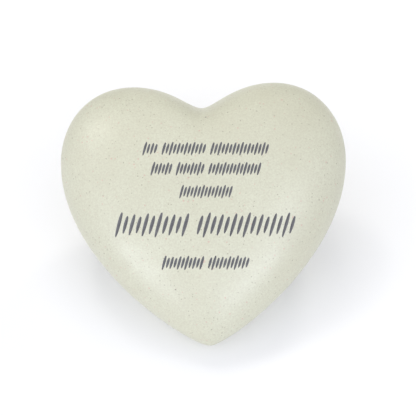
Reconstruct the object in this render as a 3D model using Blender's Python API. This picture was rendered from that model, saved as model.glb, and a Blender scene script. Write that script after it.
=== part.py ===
# Heart-shaped memorial stone, cast in one piece, leaning back on its own flat foot.
# Metres, +Z up. The cut face looks towards -Y and upwards, and the origin is the middle
# of the foot, on the ground.
#
# The heart is drawn in a frame of its own: "across" runs to the right along the rim plane,
# "up" runs up the face from the tip, and "out" points out of the face. The rim, where the
# stone is widest, lies in the plane out = 0.

import math

import bmesh
import bpy
from mathutils import Vector
from mathutils.bvhtree import BVHTree

# Sizes of the stone
HEART_WIDTH = 0.200
HEART_HEIGHT = 0.183
FACE_RISE = 0.038
BACK_DEPTH = 0.070
FACE_SLOPE = math.radians(35.0)
TIP_LIFT = 0.008
FOOT_CHAMFER = 0.0015

# Outline of the rim, as shares of the heart's width (out to the side) or height (up)
NOTCH_UP = 0.911
NOTCH_ROUND = 0.045
LOBE_SIDE = 0.247
LOBE_INNER_ROUND = 0.136
LOBE_OUTER_ROUND = 0.152
WIDEST_UP = 0.704
SHOULDER_ROUND = 0.167
FLANK_ROUND = 0.384
TIP_ROUND = 0.063

# Doming of the face and the back, about a middle given as a share of the height
FACE_MIDDLE_UP = 0.60
FACE_FLATNESS = 3.0
BACK_MIDDLE_UP = 0.30
BACK_FLATNESS = 2.5
DOME_ROUNDNESS = 2.0

# The rings lose the notch and the tip towards the middle and turn into these ovals
OVAL_SOFTENING = 2.0
FACE_OVAL_SIDE = 0.42
FACE_OVAL_UP = 0.36
BACK_OVAL_SIDE = 0.42
BACK_OVAL_UP = 0.42

# Facets: steps of each part of the half outline, rings over the face and the back, halvings in
# the search for the ground, and the angle from which an edge shows as sharp
NOTCH_STEPS = 10
SHOULDER_STEPS = 14
FLANK_STEPS = 22
FACE_RINGS = 13
FACE_LAST_RING = math.radians(88.0)
BACK_RINGS = 9
FOOT_HALVINGS = 40
SHARP_EDGE = math.radians(25.0)

# Inscription: rows of leaning chisel cuts. Heights are shares of the heart's height and lengths
# are shares of its width:
# up the face, length, height of the tallest cut, cut's width to its height, cuts in each group
ROWS = (
    (0.746, 0.420, 0.054, 0.17, (4, 12, 16)),
    (0.672, 0.365, 0.054, 0.17, (6, 8, 15)),
    (0.588, 0.172, 0.054, 0.16, (15,)),
    (0.466, 0.600, 0.100, 0.13, (11, 15)),
    (0.326, 0.291, 0.058, 0.17, (11, 11)),
)
ROWS_TURN = math.radians(-2.05)
ROWS_PIVOT_UP = 0.585
GROUP_GAP = 2.2
CUT_LEAN = math.radians(16.0)
CUT_LENGTHS = (1.0, 0.70, 0.84, 0.66, 0.92, 0.74)
CUT_TAPER = 0.75
CUT_END = 0.22
CUT_SLOPE = 1.2
CUTTER_CLEARANCE = 0.0012

# Finish
STONE_COLOUR = (0.72, 0.73, 0.60, 1.0)
STONE_ROUGHNESS = 0.5


def clear_objects():
    for thing in list(bpy.data.objects):
        bpy.data.objects.remove(thing, do_unlink=True)


def stone_material():
    material = bpy.data.materials.new("cast_stone")
    material.use_nodes = True
    shader = material.node_tree.nodes["Principled BSDF"]
    shader.inputs["Base Color"].default_value = STONE_COLOUR
    shader.inputs["Roughness"].default_value = STONE_ROUGHNESS
    shader.inputs["Metallic"].default_value = 0.0
    return material


def curve_points(start, start_handle, end_handle, end, steps):
    """Points of a cubic curve from its start up to, but without, its end."""
    points = []
    for step in range(steps):
        t = step / steps
        s = 1.0 - t
        points.append(
            start * s**3 + start_handle * (3 * s * s * t) + end_handle * (3 * s * t * t) + end * t**3
        )
    return points


def heart_outline():
    """The rim, once round from the notch down the right side to the tip and back up."""
    wide, high = HEART_WIDTH, HEART_HEIGHT
    notch = Vector((0.0, NOTCH_UP * high))
    lobe = Vector((LOBE_SIDE * wide, high))
    widest = Vector((wide / 2, WIDEST_UP * high))
    tip = Vector((0.0, 0.0))
    right = curve_points(
        notch,
        notch + Vector((NOTCH_ROUND * wide, 0.0)),
        lobe - Vector((LOBE_INNER_ROUND * wide, 0.0)),
        lobe,
        NOTCH_STEPS,
    )
    right += curve_points(
        lobe,
        lobe + Vector((LOBE_OUTER_ROUND * wide, 0.0)),
        widest + Vector((0.0, SHOULDER_ROUND * high)),
        widest,
        SHOULDER_STEPS,
    )
    right += curve_points(
        widest,
        widest - Vector((0.0, FLANK_ROUND * high)),
        tip + Vector((TIP_ROUND * wide, 0.0)),
        tip,
        FLANK_STEPS,
    )
    left = [Vector((-point.x, point.y)) for point in reversed(right[1:])]
    return right + [tip] + left


def to_world(across, up, out):
    """A point of the heart's frame, with the tip's rim above the world's x axis."""
    return Vector(
        (
            across,
            up * math.cos(FACE_SLOPE) - out * math.sin(FACE_SLOPE),
            TIP_LIFT + up * math.sin(FACE_SLOPE) + out * math.cos(FACE_SLOPE),
        )
    )


def dome_point(rim_point, middle, oval, flatness, rise, turn):
    """A point of the dome at an angle of turn from the rim (0) to its middle (90 degrees)."""
    share = math.cos(turn) ** (2.0 / flatness)
    lift = math.sin(turn) ** (2.0 / DOME_ROUNDNESS)
    ray = rim_point - middle
    reach = ray.length
    way = ray / reach
    oval_reach = 1.0 / math.hypot(way.x / oval.x, way.y / oval.y)
    reach += (oval_reach - reach) * (1.0 - share**OVAL_SOFTENING)
    flat = middle + way * (reach * share)
    return to_world(flat.x, flat.y, rise * lift)


def face_point(rim_point, turn):
    middle = Vector((0.0, FACE_MIDDLE_UP * HEART_HEIGHT))
    oval = Vector((FACE_OVAL_SIDE * HEART_WIDTH, FACE_OVAL_UP * HEART_HEIGHT))
    return dome_point(rim_point, middle, oval, FACE_FLATNESS, FACE_RISE, turn)


def back_point(rim_point, turn):
    middle = Vector((0.0, BACK_MIDDLE_UP * HEART_HEIGHT))
    oval = Vector((BACK_OVAL_SIDE * HEART_WIDTH, BACK_OVAL_UP * HEART_HEIGHT))
    return dome_point(rim_point, middle, oval, BACK_FLATNESS, -BACK_DEPTH, turn)


def turn_at_foot(rim_point):
    """How far the back turns before it comes down to the top of the foot's chamfer."""
    above, below = 0.0, math.pi / 2
    for _ in range(FOOT_HALVINGS):
        middle = (above + below) / 2
        if back_point(rim_point, middle).z > FOOT_CHAMFER:
            above = middle
        else:
            below = middle
    return above


def foot_ring(last_ring):
    """The foot's outline on the ground, drawn in by the chamfer from the last back ring."""
    rear = max(point.y for point in last_ring)
    front = min(point.y for point in last_ring)
    middle = Vector((0.0, (rear + front) / 2, 0.0))
    ring = []
    for point in last_ring:
        inward = Vector((middle.x - point.x, middle.y - point.y, 0.0)).normalized()
        ring.append(Vector((point.x, point.y, 0.0)) + inward * FOOT_CHAMFER)
    return ring


def stone_rings():
    """All rings of the stone, from the middle of the face over the rim to the foot."""
    rim = heart_outline()
    rings = []
    for step in range(FACE_RINGS, -1, -1):
        turn = FACE_LAST_RING * step / FACE_RINGS
        rings.append([face_point(point, turn) for point in rim])
    ends = [turn_at_foot(point) for point in rim]
    for step in range(1, BACK_RINGS + 1):
        rings.append([back_point(point, end * step / BACK_RINGS) for point, end in zip(rim, ends)])
    rings.append(foot_ring(rings[-1]))
    return rings


def stone_mesh():
    """The closed stone, with the middle of its foot at the origin."""
    rings = stone_rings()
    foot = rings[-1]
    foot_middle = (max(point.y for point in foot) + min(point.y for point in foot)) / 2
    shift = Vector((0.0, -foot_middle, 0.0))
    mesh = bmesh.new()
    loops = [[mesh.verts.new(point + shift) for point in ring] for ring in rings]
    count = len(loops[0])
    for upper, lower in zip(loops, loops[1:]):
        for i in range(count):
            j = (i + 1) % count
            mesh.faces.new((upper[i], upper[j], lower[j], lower[i]))
    mesh.faces.new(reversed(loops[0]))
    mesh.faces.new(loops[-1])
    bmesh.ops.recalc_face_normals(mesh, faces=mesh.faces)
    return mesh, shift


def row_cuts(up, length, tall, boldness, groups):
    """Foot, head and width of each cut of a row, as points across and up the face."""
    places = []
    at = 0.0
    for cuts in groups:
        places += [at + n for n in range(cuts)]
        at = places[-1] + GROUP_GAP
    tall = tall * HEART_HEIGHT
    width = tall * boldness
    span = places[-1]
    pitch = (length * HEART_WIDTH - width) / span
    along = Vector((math.cos(ROWS_TURN), math.sin(ROWS_TURN)))
    upward = Vector((-along.y, along.x))
    leaning = along * math.tan(CUT_LEAN) + upward
    pivot = Vector((0.0, ROWS_PIVOT_UP * HEART_HEIGHT))
    middle = pivot + upward * ((up - ROWS_PIVOT_UP) * HEART_HEIGHT)
    cuts = []
    for number, place in enumerate(places):
        half = leaning * (tall / 2 * CUT_LENGTHS[number % len(CUT_LENGTHS)])
        spot = middle + along * ((place - span / 2) * pitch)
        cuts.append((spot - half, spot + half, width))
    return cuts


def on_face(tree, shift, flat):
    """Where the face lies at a point of the heart's frame, and which way it looks."""
    start = to_world(flat.x, flat.y, FACE_RISE * 2) + shift
    inward = to_world(0.0, 0.0, -1.0) - to_world(0.0, 0.0, 0.0)
    place, normal, _, _ = tree.ray_cast(start, inward)
    return place, normal


def add_cutter(cutters, tree, shift, foot, head, width):
    """One tapered V-shaped cut: a keel below the face under a six-sided lid above it."""
    low, low_normal = on_face(tree, shift, foot)
    high, high_normal = on_face(tree, shift, head)
    along = (high - low).normalized()
    sideways = along.cross(low_normal + high_normal).normalized()
    outward = sideways.cross(along)
    length = (high - low).length
    end = length * CUT_END
    stations = ((end, width / 2 * CUT_TAPER), (length - end, width / 2))
    keel = []
    left = []
    right = []
    for place, half in stations:
        depth = half / CUT_SLOPE
        wide = (depth + CUTTER_CLEARANCE) * CUT_SLOPE
        spot = low + along * place
        keel.append(spot - outward * depth)
        left.append(spot - sideways * wide + outward * CUTTER_CLEARANCE)
        right.append(spot + sideways * wide + outward * CUTTER_CLEARANCE)
    overrun = end * CUTTER_CLEARANCE * CUT_SLOPE / (width / 2)
    first_tip = low - along * overrun + outward * CUTTER_CLEARANCE
    last_tip = high + along * overrun + outward * CUTTER_CLEARANCE
    points = [*keel, first_tip, left[0], left[1], last_tip, right[1], right[0]]
    k0, k1, t0, l0, l1, t1, r1, r0 = [cutters.verts.new(point) for point in points]
    faces = (
        (k0, k1, l1, l0),
        (k1, k0, r0, r1),
        (k0, l0, t0),
        (k0, t0, r0),
        (k1, t1, l1),
        (k1, r1, t1),
        (t0, l0, l1, t1, r1, r0),
    )
    for face in faces:
        cutters.faces.new(face)


def inscription_cutters(mesh, shift):
    tree = BVHTree.FromBMesh(mesh)
    cutters = bmesh.new()
    for row in ROWS:
        for foot, head, width in row_cuts(*row):
            add_cutter(cutters, tree, shift, foot, head, width)
    bmesh.ops.recalc_face_normals(cutters, faces=cutters.faces)
    return cutters


def make_object(name, mesh):
    data = bpy.data.meshes.new(name)
    mesh.to_mesh(data)
    mesh.free()
    thing = bpy.data.objects.new(name, data)
    bpy.context.scene.collection.objects.link(thing)
    return thing


def build():
    clear_objects()
    mesh, shift = stone_mesh()
    cutters = make_object("inscription_cuts", inscription_cutters(mesh, shift))
    cutters.hide_render = True
    cutters.display_type = "WIRE"
    stone = make_object("heart_stone", mesh)
    stone.data.materials.append(stone_material())
    stone.data.shade_smooth()
    stone.data.set_sharp_from_angle(angle=SHARP_EDGE)
    carving = stone.modifiers.new("inscription", "BOOLEAN")
    carving.operation = "DIFFERENCE"
    carving.solver = "EXACT"
    carving.object = cutters


build()
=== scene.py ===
import math

import bmesh
import bpy
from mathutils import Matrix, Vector, noise
from mathutils.bvhtree import BVHTree


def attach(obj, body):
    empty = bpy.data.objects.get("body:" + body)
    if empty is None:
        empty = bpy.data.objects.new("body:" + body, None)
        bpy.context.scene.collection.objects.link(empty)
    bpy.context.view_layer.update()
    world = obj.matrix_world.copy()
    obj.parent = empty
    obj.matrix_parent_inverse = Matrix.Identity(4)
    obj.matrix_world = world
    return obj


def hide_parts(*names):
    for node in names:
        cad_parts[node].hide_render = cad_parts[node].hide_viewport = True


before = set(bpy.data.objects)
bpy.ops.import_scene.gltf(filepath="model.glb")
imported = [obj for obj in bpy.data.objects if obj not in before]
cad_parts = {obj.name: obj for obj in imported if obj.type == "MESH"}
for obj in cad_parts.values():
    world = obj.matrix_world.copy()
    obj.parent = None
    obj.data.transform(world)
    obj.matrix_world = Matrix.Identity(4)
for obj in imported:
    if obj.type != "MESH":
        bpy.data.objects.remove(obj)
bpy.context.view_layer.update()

# Sizes of the stone
HEART_WIDTH = 0.200
HEART_HEIGHT = 0.183
FACE_RISE = 0.038
BACK_DEPTH = 0.070
FACE_SLOPE = math.radians(35.0)
TIP_LIFT = 0.008
FOOT_CHAMFER = 0.0015

# Outline of the rim, as shares of the heart's width (out to the side) or height (up)
NOTCH_UP = 0.911
NOTCH_ROUND = 0.045
LOBE_SIDE = 0.247
LOBE_INNER_ROUND = 0.136
LOBE_OUTER_ROUND = 0.152
WIDEST_UP = 0.704
SHOULDER_ROUND = 0.167
FLANK_ROUND = 0.384
TIP_ROUND = 0.063

# Doming of the face and the back, about a middle given as a share of the height
FACE_MIDDLE_UP = 0.60
FACE_FLATNESS = 3.0
BACK_MIDDLE_UP = 0.30
BACK_FLATNESS = 2.5
DOME_ROUNDNESS = 2.0

# The rings lose the notch and the tip towards the middle and turn into these ovals
OVAL_SOFTENING = 2.0
FACE_OVAL_SIDE = 0.42
FACE_OVAL_UP = 0.36
BACK_OVAL_SIDE = 0.42
BACK_OVAL_UP = 0.42

# Fineness of the rim: steps of each part of its half outline, in all a multiple of 8
NOTCH_STEPS = 48
SHOULDER_STEPS = 66
FLANK_STEPS = 110

# Fineness of the face: rings of its edge, up to a turn, and then of its middle
FACE_EDGE_RINGS = 44
FACE_EDGE_TURN = math.radians(60.0)
FACE_MIDDLE_RINGS = 40

# Fineness of the back and the foot, and halvings in the search for the ground
BACK_RINGS = 60
FOOT_RINGS = 40
FOOT_HALVINGS = 40

# Rings closing in: the share of the rim that the last one has, and the shares below which the
# corners are halved once more
LAST_SHARE = 0.02
HALVED_BELOW = (0.50, 0.25, 0.12, 0.06)

# The angle from which an edge shows as sharp
SHARP_EDGE = math.radians(25.0)

# Hand-finished unevenness of the cast surface: wavelength and height of each layer, and how far
# above the ground it has its full height
UNEVENNESS = ((0.024, 0.00012), (0.007, 0.00003))
FOOT_CALM = 0.006

# Inscription: rows of leaning chisel cuts. Heights are shares of the heart's height and lengths
# are shares of its width:
# up the face, length, height of the tallest cut, cut's width to its height, cuts in each group
ROWS = (
    (0.746, 0.420, 0.054, 0.17, (4, 12, 16)),
    (0.672, 0.365, 0.054, 0.17, (6, 8, 15)),
    (0.588, 0.172, 0.054, 0.16, (15,)),
    (0.466, 0.600, 0.100, 0.13, (11, 15)),
    (0.326, 0.291, 0.058, 0.17, (11, 11)),
)
ROWS_TURN = math.radians(-2.05)
ROWS_PIVOT_UP = 0.585

# Cuts: the gap between groups in steps from cut to cut, how far the cuts lean, their lengths in
# turn as shares of the tallest, and how full and how heavy at its head each leaf shape is
GROUP_GAP = 2.2
CUT_LEAN = math.radians(16.0)
CUT_LENGTHS = (1.0, 0.70, 0.84, 0.66, 0.92, 0.74)
CUT_FULLNESS = 0.55
CUT_HEAVY_HEAD = 0.25

# Cutters: stations along each, the slope of the walls as half width to depth, how far the cutter
# stands out of the face, and its three sides between keel (0), left edge (1) and right edge (2)
CUT_STATIONS = 14
CUT_SLOPE = 1.2
CUTTER_CLEARANCE = 0.0012
CUTTER_SIDES = ((0, 1), (1, 2), (2, 0))

# Photograph: its side, and how wide and where the heart stands in it, in its pixels
PHOTO_FRAME = 416
HEART_PIXELS_WIDE = 284.7
HEART_MIDDLE_PIXEL = (205.6, 215.4)

# Camera: lens and sensor in millimetres, and where it looks from, nearly square to the face
CAMERA_LENS = 100.0
CAMERA_SENSOR = 36.0
CAMERA_AZIMUTH = math.radians(-2.5)
CAMERA_ELEVATION = math.pi / 2 - FACE_SLOPE

# Colours of the stone and its grains, the rough underside, the paint, the floor and the backdrop
STONE_LIGHT = (0.641, 0.651, 0.532, 1.0)
STONE_SHADE = (0.601, 0.600, 0.480, 1.0)
STONE_SAND = (0.530, 0.512, 0.410, 1.0)
STONE_PINK = (0.580, 0.360, 0.310, 1.0)
STONE_PEPPER = (0.300, 0.270, 0.200, 1.0)
STONE_DARK = (0.120, 0.090, 0.080, 1.0)
UNDERSIDE_LIGHT = (0.520, 0.505, 0.410, 1.0)
UNDERSIDE_SHADE = (0.400, 0.380, 0.300, 1.0)
UNDERSIDE_PIT = (0.200, 0.180, 0.140, 1.0)
PAINT_LIGHT = (0.161, 0.161, 0.174, 1.0)
PAINT_SHADE = (0.126, 0.126, 0.138, 1.0)
FLOOR_LIGHT = (0.928, 0.928, 0.955, 1.0)
FLOOR_SHADE = (0.918, 0.918, 0.945, 1.0)
BACKDROP = (0.86, 0.86, 0.86, 1.0)

# Grains: the spacing of their cells, the largest grain's size and the share of cells with a grain
PEPPER_GRAINS = (0.0024, 0.00062, 0.50)
DARK_GRAINS = (0.0085, 0.00080, 0.34)
PINK_GRAINS = (0.0032, 0.00080, 0.40)
UNDERSIDE_PEPPER = (0.0022, 0.00062, 0.60)
UNDERSIDE_PITS = (0.0046, 0.00130, 0.60)
BARE_SPOTS = (0.0022, 0.00040, 0.22)

# Each grain: the smallest as a share of the largest, the full core as a share of the grain, and
# the middle of the noise that makes its outline irregular
SMALLEST_GRAIN = 0.45
GRAIN_CORE = 0.45
NOISE_MIDDLE = (0.5, 0.5, 0.5)

# How strongly each layer of colour covers what lies under it
SAND_COVER = 0.85
PINK_COVER = 0.70
PEPPER_COVER = 0.72
DARK_COVER = 0.72
UNDERSIDE_SAND_COVER = 0.7
UNDERSIDE_PEPPER_COVER = 0.5
PIT_COVER = 0.7
BARE_COVER = 0.5

# Clouds: the size of their patches and, for the stains and the roughness, their low and high
BROAD_PATCH = 0.045
SAND_PATCH = 0.0012
UNDERSIDE_SAND_PATCH = 0.0016
PAINT_PATCH = 0.0030
FLOOR_PATCH = 0.4
UNDERSIDE_STAINS = (0.030, 0.0, 0.6)
STONE_ROUGH_CLOUDS = (0.006, 0.34, 0.42)
UNDERSIDE_ROUGH_CLOUDS = (0.004, 0.78, 0.92)
PAINT_ROUGH_CLOUDS = (0.0020, 0.50, 0.66)

# Each cloud's noise: its detail and roughness, and the part that is stretched from low to high
CLOUD_DETAIL = 3.0
CLOUD_ROUGHNESS = 0.55
CLOUD_LOWEST = 0.3
CLOUD_HIGHEST = 0.7

# Fine relief: patches of the ripples, and heights and depths
RIPPLE_PATCH = 0.0016
RIPPLE_HEIGHT = 0.000012
PEPPER_DEPTH = 0.000020
DARK_DEPTH = 0.000045
UNDERSIDE_SAND_HEIGHT = 0.00012
PIT_DEPTH = 0.0005
BRUSH_PATCH = 0.0009
BRUSH_HEIGHT = 0.00003

# Floor: half its side, its squares along a side and its finish
FLOOR_HALF = 3.0
FLOOR_SQUARES = 8
FLOOR_ROUGHNESS = 0.9
FLOOR_SHINE = 0.1

# Tints of the lights
PLAIN_LIGHT = (1.0, 1.0, 1.0)
COOL_LIGHT = (0.97, 1.0, 1.06)
WARM_LIGHT = (1.02, 1.0, 0.92)
SHEEN_LIGHT = (0.93, 1.0, 1.10)

# Surround: its even light, how quickly its glows fade away from their directions, and each glow's
# azimuth and height in degrees, strength and tint
SURROUND_LIGHT = 0.32
GLOW_FALL = 4.0
SURROUND_GLOWS = (
    (45.0, 20.0, 1.16, COOL_LIGHT),
    (-45.0, 20.0, 0.98, COOL_LIGHT),
    (-90.0, 20.0, 0.68, PLAIN_LIGHT),
    (0.0, 90.0, 0.56, PLAIN_LIGHT),
)

# Soft boxes: what they look at and from how far, and each box's name, azimuth and height in
# degrees, side, power, tint and what it gives: light, sheen or both
LIGHT_TARGET = Vector((0.0, 0.0, 0.05))
LIGHT_DISTANCE = 1.1
SOFT_BOXES = (
    ("front_fill", 0.0, 20.0, 0.25, 1.35, COOL_LIGHT, "both"),
    ("right_back_key", 150.0, 42.0, 0.20, 1.25, WARM_LIGHT, "light"),
    ("left_back_key", -150.0, 60.0, 0.20, 1.30, WARM_LIGHT, "light"),
    ("high_back_fill", 180.0, 60.0, 0.25, 0.93, WARM_LIGHT, "light"),
    ("low_left_sheen", -36.0, 5.0, 0.40, 3.7, SHEEN_LIGHT, "sheen"),
    ("low_right_sheen", 29.0, 7.0, 0.30, 3.2, SHEEN_LIGHT, "sheen"),
    ("high_left_sheen", -105.0, 45.0, 0.35, 1.9, WARM_LIGHT, "sheen"),
    ("right_sheen", 46.0, 32.0, 0.40, 2.0, SHEEN_LIGHT, "sheen"),
    ("back_sheen", -179.0, 20.0, 0.30, 0.5, WARM_LIGHT, "sheen"),
)


def curve_points(start, start_handle, end_handle, end, steps):
    """Points of a cubic curve from its start up to, but without, its end."""
    points = []
    for step in range(steps):
        t = step / steps
        s = 1.0 - t
        points.append(
            start * s**3 + start_handle * (3 * s * s * t) + end_handle * (3 * s * t * t) + end * t**3
        )
    return points


def heart_outline():
    """The rim, once round from the notch down the right side to the tip and back up."""
    wide, high = HEART_WIDTH, HEART_HEIGHT
    notch = Vector((0.0, NOTCH_UP * high))
    lobe = Vector((LOBE_SIDE * wide, high))
    widest = Vector((wide / 2, WIDEST_UP * high))
    tip = Vector((0.0, 0.0))
    right = curve_points(
        notch,
        notch + Vector((NOTCH_ROUND * wide, 0.0)),
        lobe - Vector((LOBE_INNER_ROUND * wide, 0.0)),
        lobe,
        NOTCH_STEPS,
    )
    right += curve_points(
        lobe,
        lobe + Vector((LOBE_OUTER_ROUND * wide, 0.0)),
        widest + Vector((0.0, SHOULDER_ROUND * high)),
        widest,
        SHOULDER_STEPS,
    )
    right += curve_points(
        widest,
        widest - Vector((0.0, FLANK_ROUND * high)),
        tip + Vector((TIP_ROUND * wide, 0.0)),
        tip,
        FLANK_STEPS,
    )
    left = [Vector((-point.x, point.y)) for point in reversed(right[1:])]
    return right + [tip] + left


def to_world(across, up, out):
    """A point of the heart's frame, with the tip's rim above the world's x axis."""
    return Vector(
        (
            across,
            up * math.cos(FACE_SLOPE) - out * math.sin(FACE_SLOPE),
            TIP_LIFT + up * math.sin(FACE_SLOPE) + out * math.cos(FACE_SLOPE),
        )
    )


def dome_point(rim_point, middle, oval, flatness, rise, turn):
    """A point of the dome at an angle of turn from the rim (0) to its middle (90 degrees)."""
    share = math.cos(turn) ** (2.0 / flatness)
    lift = math.sin(turn) ** (2.0 / DOME_ROUNDNESS)
    ray = rim_point - middle
    reach = ray.length
    way = ray / reach
    oval_reach = 1.0 / math.hypot(way.x / oval.x, way.y / oval.y)
    reach += (oval_reach - reach) * (1.0 - share**OVAL_SOFTENING)
    flat = middle + way * (reach * share)
    return to_world(flat.x, flat.y, rise * lift)


def face_point(rim_point, turn):
    middle = Vector((0.0, FACE_MIDDLE_UP * HEART_HEIGHT))
    oval = Vector((FACE_OVAL_SIDE * HEART_WIDTH, FACE_OVAL_UP * HEART_HEIGHT))
    return dome_point(rim_point, middle, oval, FACE_FLATNESS, FACE_RISE, turn)


def back_point(rim_point, turn):
    middle = Vector((0.0, BACK_MIDDLE_UP * HEART_HEIGHT))
    oval = Vector((BACK_OVAL_SIDE * HEART_WIDTH, BACK_OVAL_UP * HEART_HEIGHT))
    return dome_point(rim_point, middle, oval, BACK_FLATNESS, -BACK_DEPTH, turn)


def turn_at_foot(rim_point):
    """How far the back turns before it comes down to the top of the foot's chamfer."""
    above, below = 0.0, math.pi / 2
    for _ in range(FOOT_HALVINGS):
        middle = (above + below) / 2
        if back_point(rim_point, middle).z > FOOT_CHAMFER:
            above = middle
        else:
            below = middle
    return above


def thinned(points, share):
    """Every point, or every second, fourth and so on as the rings close in."""
    halvings = sum(share < limit for limit in HALVED_BELOW)
    return points[:: 2**halvings]


def face_rings(rim):
    """Rings from the rim in to the middle of the face."""
    rings = []
    for step in range(FACE_EDGE_RINGS):
        turn = FACE_EDGE_TURN * step / FACE_EDGE_RINGS
        rings.append([face_point(point, turn) for point in rim])
    first = math.cos(FACE_EDGE_TURN) ** (2.0 / FACE_FLATNESS)
    for step in range(FACE_MIDDLE_RINGS + 1):
        share = first + (LAST_SHARE - first) * step / FACE_MIDDLE_RINGS
        turn = math.acos(share ** (FACE_FLATNESS / 2.0))
        rings.append([face_point(point, turn) for point in thinned(rim, share)])
    return rings


def back_rings(rim):
    """Rings from just behind the rim down to the top of the foot's chamfer."""
    ends = [turn_at_foot(point) for point in rim]
    rings = []
    for step in range(1, BACK_RINGS + 1):
        rings.append([back_point(point, end * step / BACK_RINGS) for point, end in zip(rim, ends)])
    return rings


def foot_rings(last_ring):
    """Rings on the ground, from the foot's outline in to its middle."""
    rear = max(point.y for point in last_ring)
    front = min(point.y for point in last_ring)
    middle = Vector((0.0, (rear + front) / 2, 0.0))
    outline = []
    for point in last_ring:
        inward = Vector((middle.x - point.x, middle.y - point.y, 0.0)).normalized()
        outline.append(Vector((point.x, point.y, 0.0)) + inward * FOOT_CHAMFER)
    rings = [outline]
    for step in range(1, FOOT_RINGS + 1):
        share = 1.0 + (LAST_SHARE - 1.0) * step / FOOT_RINGS
        rings.append([middle + (point - middle) * share for point in thinned(outline, share)])
    return rings


def join_rings(mesh, outer, inner, slot):
    """Faces between two rings of corners, the inner with as many or half as many."""
    count = len(outer)
    faces = []
    if len(inner) == count:
        for i in range(count):
            j = (i + 1) % count
            faces.append((outer[i], outer[j], inner[j], inner[i]))
    else:
        for i, near in enumerate(inner):
            first, middle, last = outer[2 * i], outer[2 * i + 1], outer[(2 * i + 2) % count]
            far = inner[(i + 1) % len(inner)]
            faces += [(first, middle, near), (middle, far, near), (middle, last, far)]
    for corners in faces:
        mesh.faces.new(corners).material_index = slot


def close_ring(mesh, ring, slot):
    """A fan of faces from the last ring to its middle."""
    middle = mesh.verts.new(sum((corner.co for corner in ring), Vector()) / len(ring))
    for i, corner in enumerate(ring):
        following = ring[(i + 1) % len(ring)]
        mesh.faces.new((corner, following, middle)).material_index = slot


def fine_stone():
    """The whole uncut stone, with the middle of its foot at the origin."""
    rim = heart_outline()
    face = face_rings(rim)
    back = back_rings(rim)
    foot = foot_rings(back[-1])
    outline = foot[0]
    shift = Vector((0.0, -(max(p.y for p in outline) + min(p.y for p in outline)) / 2, 0.0))
    mesh = bmesh.new()
    face, back, foot = (
        [[mesh.verts.new(point + shift) for point in ring] for ring in rings]
        for rings in (face, back, foot)
    )
    for outer, inner in zip(face, face[1:]):
        join_rings(mesh, outer, inner, STONE)
    close_ring(mesh, face[-1], STONE)
    for outer, inner in zip([face[0], *back], back):
        join_rings(mesh, outer, inner, STONE)
    join_rings(mesh, back[-1], foot[0], UNDERSIDE)
    for outer, inner in zip(foot, foot[1:]):
        join_rings(mesh, outer, inner, UNDERSIDE)
    close_ring(mesh, foot[-1], UNDERSIDE)
    bmesh.ops.recalc_face_normals(mesh, faces=mesh.faces)
    return mesh, shift


def make_uneven(mesh):
    """The slight waves of a hand-rubbed casting, dying away towards the foot."""
    mesh.normal_update()
    moves = []
    for corner in mesh.verts:
        calm = min(1.0, corner.co.z / FOOT_CALM)
        wave = sum(noise.noise(corner.co / length) * height for length, height in UNEVENNESS)
        moves.append(corner.normal * (wave * calm))
    for corner, move in zip(mesh.verts, moves):
        corner.co += move


def row_cuts(up, length, tall, boldness, groups):
    """Foot, head and width of each cut of a row, as points across and up the face."""
    places = []
    at = 0.0
    for cuts in groups:
        places += [at + n for n in range(cuts)]
        at = places[-1] + GROUP_GAP
    tall = tall * HEART_HEIGHT
    width = tall * boldness
    span = places[-1]
    pitch = (length * HEART_WIDTH - width) / span
    along = Vector((math.cos(ROWS_TURN), math.sin(ROWS_TURN)))
    upward = Vector((-along.y, along.x))
    leaning = along * math.tan(CUT_LEAN) + upward
    pivot = Vector((0.0, ROWS_PIVOT_UP * HEART_HEIGHT))
    middle = pivot + upward * ((up - ROWS_PIVOT_UP) * HEART_HEIGHT)
    cuts = []
    for number, place in enumerate(places):
        half = leaning * (tall / 2 * CUT_LENGTHS[number % len(CUT_LENGTHS)])
        spot = middle + along * ((place - span / 2) * pitch)
        cuts.append((spot - half, spot + half, width))
    return cuts


def on_face(tree, shift, flat):
    """Where the face lies at a point of the heart's frame, and which way it looks."""
    start = to_world(flat.x, flat.y, FACE_RISE * 2) + shift
    inward = to_world(0.0, 0.0, -1.0) - to_world(0.0, 0.0, 0.0)
    place, normal, _, _ = tree.ray_cast(start, inward)
    return place, normal


def add_cutter(cutters, tree, shift, foot, head, width):
    """One leaf-shaped V cut that follows the face. A station is its keel, left and right edge."""
    low, low_normal = on_face(tree, shift, foot)
    high, high_normal = on_face(tree, shift, head)
    along = (high - low).normalized()
    sideways = along.cross(low_normal + high_normal).normalized()
    outward = sideways.cross(along)
    overrun = along * (CUTTER_CLEARANCE * CUT_SLOPE)
    stations = []
    for step in range(1, CUT_STATIONS):
        t = step / CUT_STATIONS
        leaf = (4.0 * t * (1.0 - t)) ** CUT_FULLNESS * (1.0 + CUT_HEAVY_HEAD * (t - 0.5))
        half = width / 2 * leaf
        depth = half / CUT_SLOPE
        wide = half + CUTTER_CLEARANCE * CUT_SLOPE
        spot, _ = on_face(tree, shift, foot.lerp(head, t))
        edge = spot + outward * CUTTER_CLEARANCE
        points = (spot - outward * depth, edge - sideways * wide, edge + sideways * wide)
        stations.append([cutters.verts.new(point) for point in points])
    first = cutters.verts.new(low - overrun + outward * CUTTER_CLEARANCE)
    last = cutters.verts.new(high + overrun + outward * CUTTER_CLEARANCE)
    for here, there in zip(stations, stations[1:]):
        for side, after in CUTTER_SIDES:
            cutters.faces.new((here[side], here[after], there[after], there[side]))
    for end, station in ((first, stations[0]), (last, stations[-1])):
        for side, after in CUTTER_SIDES:
            cutters.faces.new((end, station[side], station[after]))


def inscription_cutters(mesh, shift):
    tree = BVHTree.FromBMesh(mesh)
    cutters = bmesh.new()
    for row in ROWS:
        for foot, head, width in row_cuts(*row):
            add_cutter(cutters, tree, shift, foot, head, width)
    bmesh.ops.recalc_face_normals(cutters, faces=cutters.faces)
    return cutters


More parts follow.
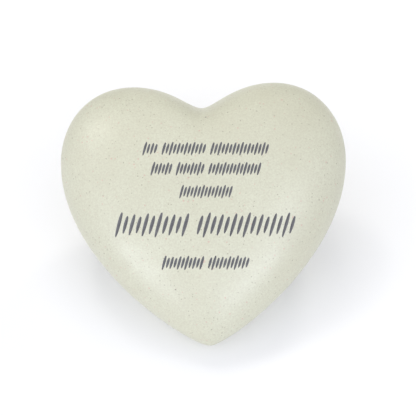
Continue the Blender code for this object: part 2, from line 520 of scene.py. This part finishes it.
def make_object(name, mesh, materials):
    data = bpy.data.meshes.new(name)
    mesh.to_mesh(data)
    mesh.free()
    for material in materials:
        data.materials.append(material)
    thing = bpy.data.objects.new(name, data)
    bpy.context.scene.collection.objects.link(thing)
    return thing


def cut_inscription(stone, cutter):
    """Cuts the rows into the stone. The walls of the cuts keep the cutter's paint."""
    carving = stone.modifiers.new("inscription", "BOOLEAN")
    carving.operation = "DIFFERENCE"
    carving.solver = "EXACT"
    carving.material_mode = "TRANSFER"
    carving.object = cutter
    depsgraph = bpy.context.evaluated_depsgraph_get()
    carved = bpy.data.meshes.new_from_object(stone.evaluated_get(depsgraph))
    stone.modifiers.remove(carving)
    stone.data = carved
    bpy.data.objects.remove(cutter, do_unlink=True)


# Slots of the stone's mesh. The third is the paint's, which the cutters bring with them.
STONE, UNDERSIDE = range(2)


def new_material(name):
    material = bpy.data.materials.new(name)
    material.use_nodes = True
    tree = material.node_tree
    return material, tree, tree.nodes["Principled BSDF"]


def add_node(tree, kind, inputs=None, **settings):
    """A node with its settings, and its inputs set to a value or linked to a socket."""
    node = tree.nodes.new(kind)
    for key, value in settings.items():
        setattr(node, key, value)
    for key, value in (inputs or {}).items():
        if isinstance(value, bpy.types.NodeSocket):
            tree.links.new(value, node.inputs[key])
        else:
            node.inputs[key].default_value = value
    return node


def worked_out(tree, operation, first, second):
    """What one operation makes of two values, each a number or a socket."""
    return add_node(tree, "ShaderNodeMath", {0: first, 1: second}, operation=operation).outputs[0]


def scaled(tree, value, factor):
    return worked_out(tree, "MULTIPLY", value, factor)


def new_group(name, inputs, outputs):
    """An empty node group with its sockets, as name: kind of socket."""
    group = bpy.data.node_groups.new(name, "ShaderNodeTree")
    for title, kind in inputs.items():
        group.interface.new_socket(title, in_out="INPUT", socket_type=kind)
    for title, kind in outputs.items():
        group.interface.new_socket(title, in_out="OUTPUT", socket_type=kind)
    entry = group.nodes.new("NodeGroupInput")
    leave = group.nodes.new("NodeGroupOutput")
    return group, entry.outputs, leave.inputs


def flecks_group():
    """Scattered grains: a mask of irregular dots, one in some of the cells of a foam."""
    group, given, result = new_group(
        "flecks",
        {
            "Place": "NodeSocketVector",
            "Spacing": "NodeSocketFloat",
            "Size": "NodeSocketFloat",
            "Share": "NodeSocketFloat",
        },
        {"Mask": "NodeSocketFloat"},
    )
    scale = worked_out(group, "DIVIDE", 1.0, given["Spacing"])
    noise_texture = add_node(
        group, "ShaderNodeTexNoise", {"Vector": given["Place"], "Scale": scale, "Detail": 1.0}
    )
    wobble = add_node(
        group,
        "ShaderNodeVectorMath",
        {0: noise_texture.outputs["Color"], 1: NOISE_MIDDLE},
        operation="SUBTRACT",
    )
    nudge = add_node(
        group,
        "ShaderNodeVectorMath",
        {0: wobble.outputs[0], "Scale": given["Size"]},
        operation="SCALE",
    )
    moved = add_node(group, "ShaderNodeVectorMath", {0: given["Place"], 1: nudge.outputs[0]})
    foam = add_node(group, "ShaderNodeTexVoronoi", {"Vector": moved.outputs[0], "Scale": scale})
    cell = add_node(group, "ShaderNodeSeparateColor", {"Color": foam.outputs["Color"]})
    present = worked_out(group, "LESS_THAN", cell.outputs["Red"], given["Share"])
    varied = add_node(
        group, "ShaderNodeMapRange", {"Value": cell.outputs["Green"], "To Min": SMALLEST_GRAIN}
    )
    largest = worked_out(group, "DIVIDE", given["Size"], given["Spacing"])
    reach = worked_out(group, "MULTIPLY", largest, varied.outputs[0])
    dot = add_node(
        group,
        "ShaderNodeMapRange",
        {
            "Value": foam.outputs["Distance"],
            "From Min": reach,
            "From Max": scaled(group, reach, GRAIN_CORE),
        },
    )
    mask = worked_out(group, "MULTIPLY", dot.outputs[0], present)
    group.links.new(mask, result["Mask"])
    return group


def clouds_group():
    """Soft uneven patches of a given size, from a low value to a high one."""
    group, given, result = new_group(
        "clouds",
        {
            "Place": "NodeSocketVector",
            "Size": "NodeSocketFloat",
            "Low": "NodeSocketFloat",
            "High": "NodeSocketFloat",
        },
        {"Value": "NodeSocketFloat"},
    )
    cloud = add_node(
        group,
        "ShaderNodeTexNoise",
        {
            "Vector": given["Place"],
            "Scale": worked_out(group, "DIVIDE", 1.0, given["Size"]),
            "Detail": CLOUD_DETAIL,
            "Roughness": CLOUD_ROUGHNESS,
        },
    )
    spread = add_node(
        group,
        "ShaderNodeMapRange",
        {
            "Value": cloud.outputs["Fac"],
            "From Min": CLOUD_LOWEST,
            "From Max": CLOUD_HIGHEST,
            "To Min": given["Low"],
            "To Max": given["High"],
        },
    )
    group.links.new(spread.outputs[0], result["Value"])
    return group


FLECKS = flecks_group()
CLOUDS = clouds_group()


def flecks(tree, place, spacing, size, share):
    node = add_node(tree, "ShaderNodeGroup", node_tree=FLECKS)
    tree.links.new(place, node.inputs["Place"])
    for key, value in {"Spacing": spacing, "Size": size, "Share": share}.items():
        node.inputs[key].default_value = value
    return node.outputs["Mask"]


def clouds(tree, place, size, low=0.0, high=1.0):
    node = add_node(tree, "ShaderNodeGroup", node_tree=CLOUDS)
    tree.links.new(place, node.inputs["Place"])
    for key, value in {"Size": size, "Low": low, "High": high}.items():
        node.inputs[key].default_value = value
    return node.outputs["Value"]


# Sockets of the colour mixer, whose inputs share their names with other kinds
MIX_AMOUNT, MIX_FIRST, MIX_SECOND, MIX_RESULT = 0, 6, 7, 2


def blended(tree, amount, first, second):
    """A colour between two, each a value or a socket."""
    inputs = {MIX_AMOUNT: amount, MIX_FIRST: first, MIX_SECOND: second}
    return add_node(tree, "ShaderNodeMix", inputs, data_type="RGBA").outputs[MIX_RESULT]


def summed(tree, values):
    total = values[0]
    for value in values[1:]:
        total = worked_out(tree, "ADD", total, value)
    return total


def add_bump(tree, shader, height):
    """A relief whose height comes in metres."""
    bump = add_node(tree, "ShaderNodeBump", {"Strength": 1.0, "Distance": 1.0, "Height": height})
    tree.links.new(bump.outputs["Normal"], shader.inputs["Normal"])


def stone_material():
    """Smooth cream stone with a green cast, fine pepper, dark grains and pink grains."""
    material, tree, shader = new_material("cast_stone")
    place = add_node(tree, "ShaderNodeTexCoord").outputs["Object"]
    broad = clouds(tree, place, BROAD_PATCH)
    sandy = clouds(tree, place, SAND_PATCH)
    pepper = flecks(tree, place, *PEPPER_GRAINS)
    dark = flecks(tree, place, *DARK_GRAINS)
    pink = flecks(tree, place, *PINK_GRAINS)
    colour = blended(tree, broad, STONE_SHADE, STONE_LIGHT)
    colour = blended(tree, scaled(tree, sandy, SAND_COVER), colour, STONE_SAND)
    colour = blended(tree, scaled(tree, pink, PINK_COVER), colour, STONE_PINK)
    colour = blended(tree, scaled(tree, pepper, PEPPER_COVER), colour, STONE_PEPPER)
    colour = blended(tree, scaled(tree, dark, DARK_COVER), colour, STONE_DARK)
    tree.links.new(colour, shader.inputs["Base Color"])
    tree.links.new(clouds(tree, place, *STONE_ROUGH_CLOUDS), shader.inputs["Roughness"])
    relief = [
        scaled(tree, clouds(tree, place, RIPPLE_PATCH), RIPPLE_HEIGHT),
        scaled(tree, pepper, -PEPPER_DEPTH),
        scaled(tree, dark, -DARK_DEPTH),
    ]
    add_bump(tree, shader, summed(tree, relief))
    return material


def underside_material():
    """The open side of the mould: the same stone left sandy, duller and pitted by air."""
    material, tree, shader = new_material("sandy_underside")
    place = add_node(tree, "ShaderNodeTexCoord").outputs["Object"]
    sandy = clouds(tree, place, UNDERSIDE_SAND_PATCH)
    stained = clouds(tree, place, *UNDERSIDE_STAINS)
    pits = flecks(tree, place, *UNDERSIDE_PITS)
    pepper = flecks(tree, place, *UNDERSIDE_PEPPER)
    colour = blended(tree, stained, UNDERSIDE_LIGHT, UNDERSIDE_SHADE)
    colour = blended(tree, scaled(tree, sandy, UNDERSIDE_SAND_COVER), colour, STONE_SAND)
    colour = blended(tree, scaled(tree, pepper, UNDERSIDE_PEPPER_COVER), colour, STONE_PEPPER)
    colour = blended(tree, scaled(tree, pits, PIT_COVER), colour, UNDERSIDE_PIT)
    tree.links.new(colour, shader.inputs["Base Color"])
    tree.links.new(clouds(tree, place, *UNDERSIDE_ROUGH_CLOUDS), shader.inputs["Roughness"])
    relief = [scaled(tree, sandy, UNDERSIDE_SAND_HEIGHT), scaled(tree, pits, -PIT_DEPTH)]
    add_bump(tree, shader, summed(tree, relief))
    return material


def paint_material():
    """Grey paint brushed into the cuts, a little uneven, with stone grains showing."""
    material, tree, shader = new_material("grey_cut_paint")
    place = add_node(tree, "ShaderNodeTexCoord").outputs["Object"]
    uneven = clouds(tree, place, PAINT_PATCH)
    bare = flecks(tree, place, *BARE_SPOTS)
    colour = blended(tree, uneven, PAINT_SHADE, PAINT_LIGHT)
    colour = blended(tree, scaled(tree, bare, BARE_COVER), colour, STONE_SAND)
    tree.links.new(colour, shader.inputs["Base Color"])
    tree.links.new(clouds(tree, place, *PAINT_ROUGH_CLOUDS), shader.inputs["Roughness"])
    add_bump(tree, shader, scaled(tree, clouds(tree, place, BRUSH_PATCH), BRUSH_HEIGHT))
    return material


def floor_material():
    material, tree, shader = new_material("white_floor")
    place = add_node(tree, "ShaderNodeTexCoord").outputs["Object"]
    colour = blended(tree, clouds(tree, place, FLOOR_PATCH), FLOOR_SHADE, FLOOR_LIGHT)
    tree.links.new(colour, shader.inputs["Base Color"])
    shader.inputs["Roughness"].default_value = FLOOR_ROUGHNESS
    shader.inputs["Specular IOR Level"].default_value = FLOOR_SHINE
    return material


def make_stone():
    mesh, shift = fine_stone()
    make_uneven(mesh)
    cutters = inscription_cutters(mesh, shift)
    paint = paint_material()
    stone = make_object("carved_heart", mesh, [stone_material(), underside_material(), paint])
    cutter = make_object("inscription_cuts", cutters, [paint])
    cut_inscription(stone, cutter)
    stone.data.shade_smooth()
    stone.data.set_sharp_from_angle(angle=SHARP_EDGE)
    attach(stone, "root")
    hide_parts("heart_stone")
    return shift


def make_floor():
    mesh = bmesh.new()
    squares = FLOOR_SQUARES
    bmesh.ops.create_grid(mesh, x_segments=squares, y_segments=squares, size=FLOOR_HALF)
    floor = make_object("floor", mesh, [floor_material()])


def look_from(azimuth, elevation):
    """The direction to something at an azimuth (0 in front) and an angle above the ground."""
    return Vector(
        (
            math.sin(azimuth) * math.cos(elevation),
            -math.cos(azimuth) * math.cos(elevation),
            math.sin(elevation),
        )
    )


def make_camera(shift):
    """Square to the face but for a small turn, so that the heart fills its place in the frame."""
    pixel = HEART_WIDTH / HEART_PIXELS_WIDE
    frame_width = PHOTO_FRAME * pixel
    distance = frame_width / CAMERA_SENSOR * CAMERA_LENS
    back = look_from(CAMERA_AZIMUTH, CAMERA_ELEVATION)
    right = Vector((0.0, 0.0, 1.0)).cross(back).normalized()
    upward = back.cross(right)
    aside = (PHOTO_FRAME / 2 - HEART_MIDDLE_PIXEL[0]) * pixel
    above = (HEART_MIDDLE_PIXEL[1] - PHOTO_FRAME / 2) * pixel
    target = to_world(0.0, HEART_HEIGHT / 2, 0.0) + shift
    camera = bpy.data.objects.new("camera", bpy.data.cameras.new("camera"))
    bpy.context.scene.collection.objects.link(camera)
    camera.data.lens = CAMERA_LENS
    camera.data.sensor_width = CAMERA_SENSOR
    camera.location = target + back * distance + right * aside + upward * above
    camera.rotation_mode = "QUATERNION"
    camera.rotation_quaternion = back.to_track_quat("Z", "Y")
    bpy.context.scene.camera = camera


def make_light(name, azimuth, elevation, side, power, tint, gives):
    """A soft box that looks at the stone from a distance."""
    light = bpy.data.lights.new(name, "AREA")
    light.shape = "SQUARE"
    light.size = side
    light.energy = power
    light.color = tint
    lamp = bpy.data.objects.new(name, light)
    away = look_from(math.radians(azimuth), math.radians(elevation))
    lamp.location = LIGHT_TARGET + away * LIGHT_DISTANCE
    lamp.rotation_mode = "QUATERNION"
    lamp.rotation_quaternion = away.to_track_quat("Z", "Y")
    lamp.visible_diffuse = gives != "sheen"
    lamp.visible_glossy = gives != "light"
    bpy.context.scene.collection.objects.link(lamp)


def surround_colour(tree):
    """The even light and the glows added up, each glow fading away from its own direction."""
    direction = add_node(tree, "ShaderNodeTexCoord").outputs["Generated"]
    total = Vector(PLAIN_LIGHT) * SURROUND_LIGHT
    for azimuth, elevation, strength, tint in SURROUND_GLOWS:
        middle = look_from(math.radians(azimuth), math.radians(elevation))
        facing = add_node(
            tree, "ShaderNodeVectorMath", {0: direction, 1: middle}, operation="DOT_PRODUCT"
        )
        lit = worked_out(tree, "MAXIMUM", facing.outputs["Value"], 0.0)
        glow = add_node(
            tree,
            "ShaderNodeVectorMath",
            {0: Vector(tint) * strength, "Scale": worked_out(tree, "POWER", lit, GLOW_FALL)},
            operation="SCALE",
        )
        total = add_node(tree, "ShaderNodeVectorMath", {0: total, 1: glow.outputs[0]}).outputs[0]
    return total


def make_studio():
    world = bpy.data.worlds.new("studio")
    world.use_nodes = True
    tree = world.node_tree
    seen = add_node(tree, "ShaderNodeLightPath").outputs["Is Camera Ray"]
    colour = blended(tree, seen, surround_colour(tree), BACKDROP)
    tree.links.new(colour, tree.nodes["Background"].inputs["Color"])
    bpy.context.scene.world = world
    bpy.context.scene.view_settings.view_transform = "Standard"
    for light in SOFT_BOXES:
        make_light(*light)


make_floor()
tip_shift = make_stone()
make_camera(tip_shift)
make_studio()
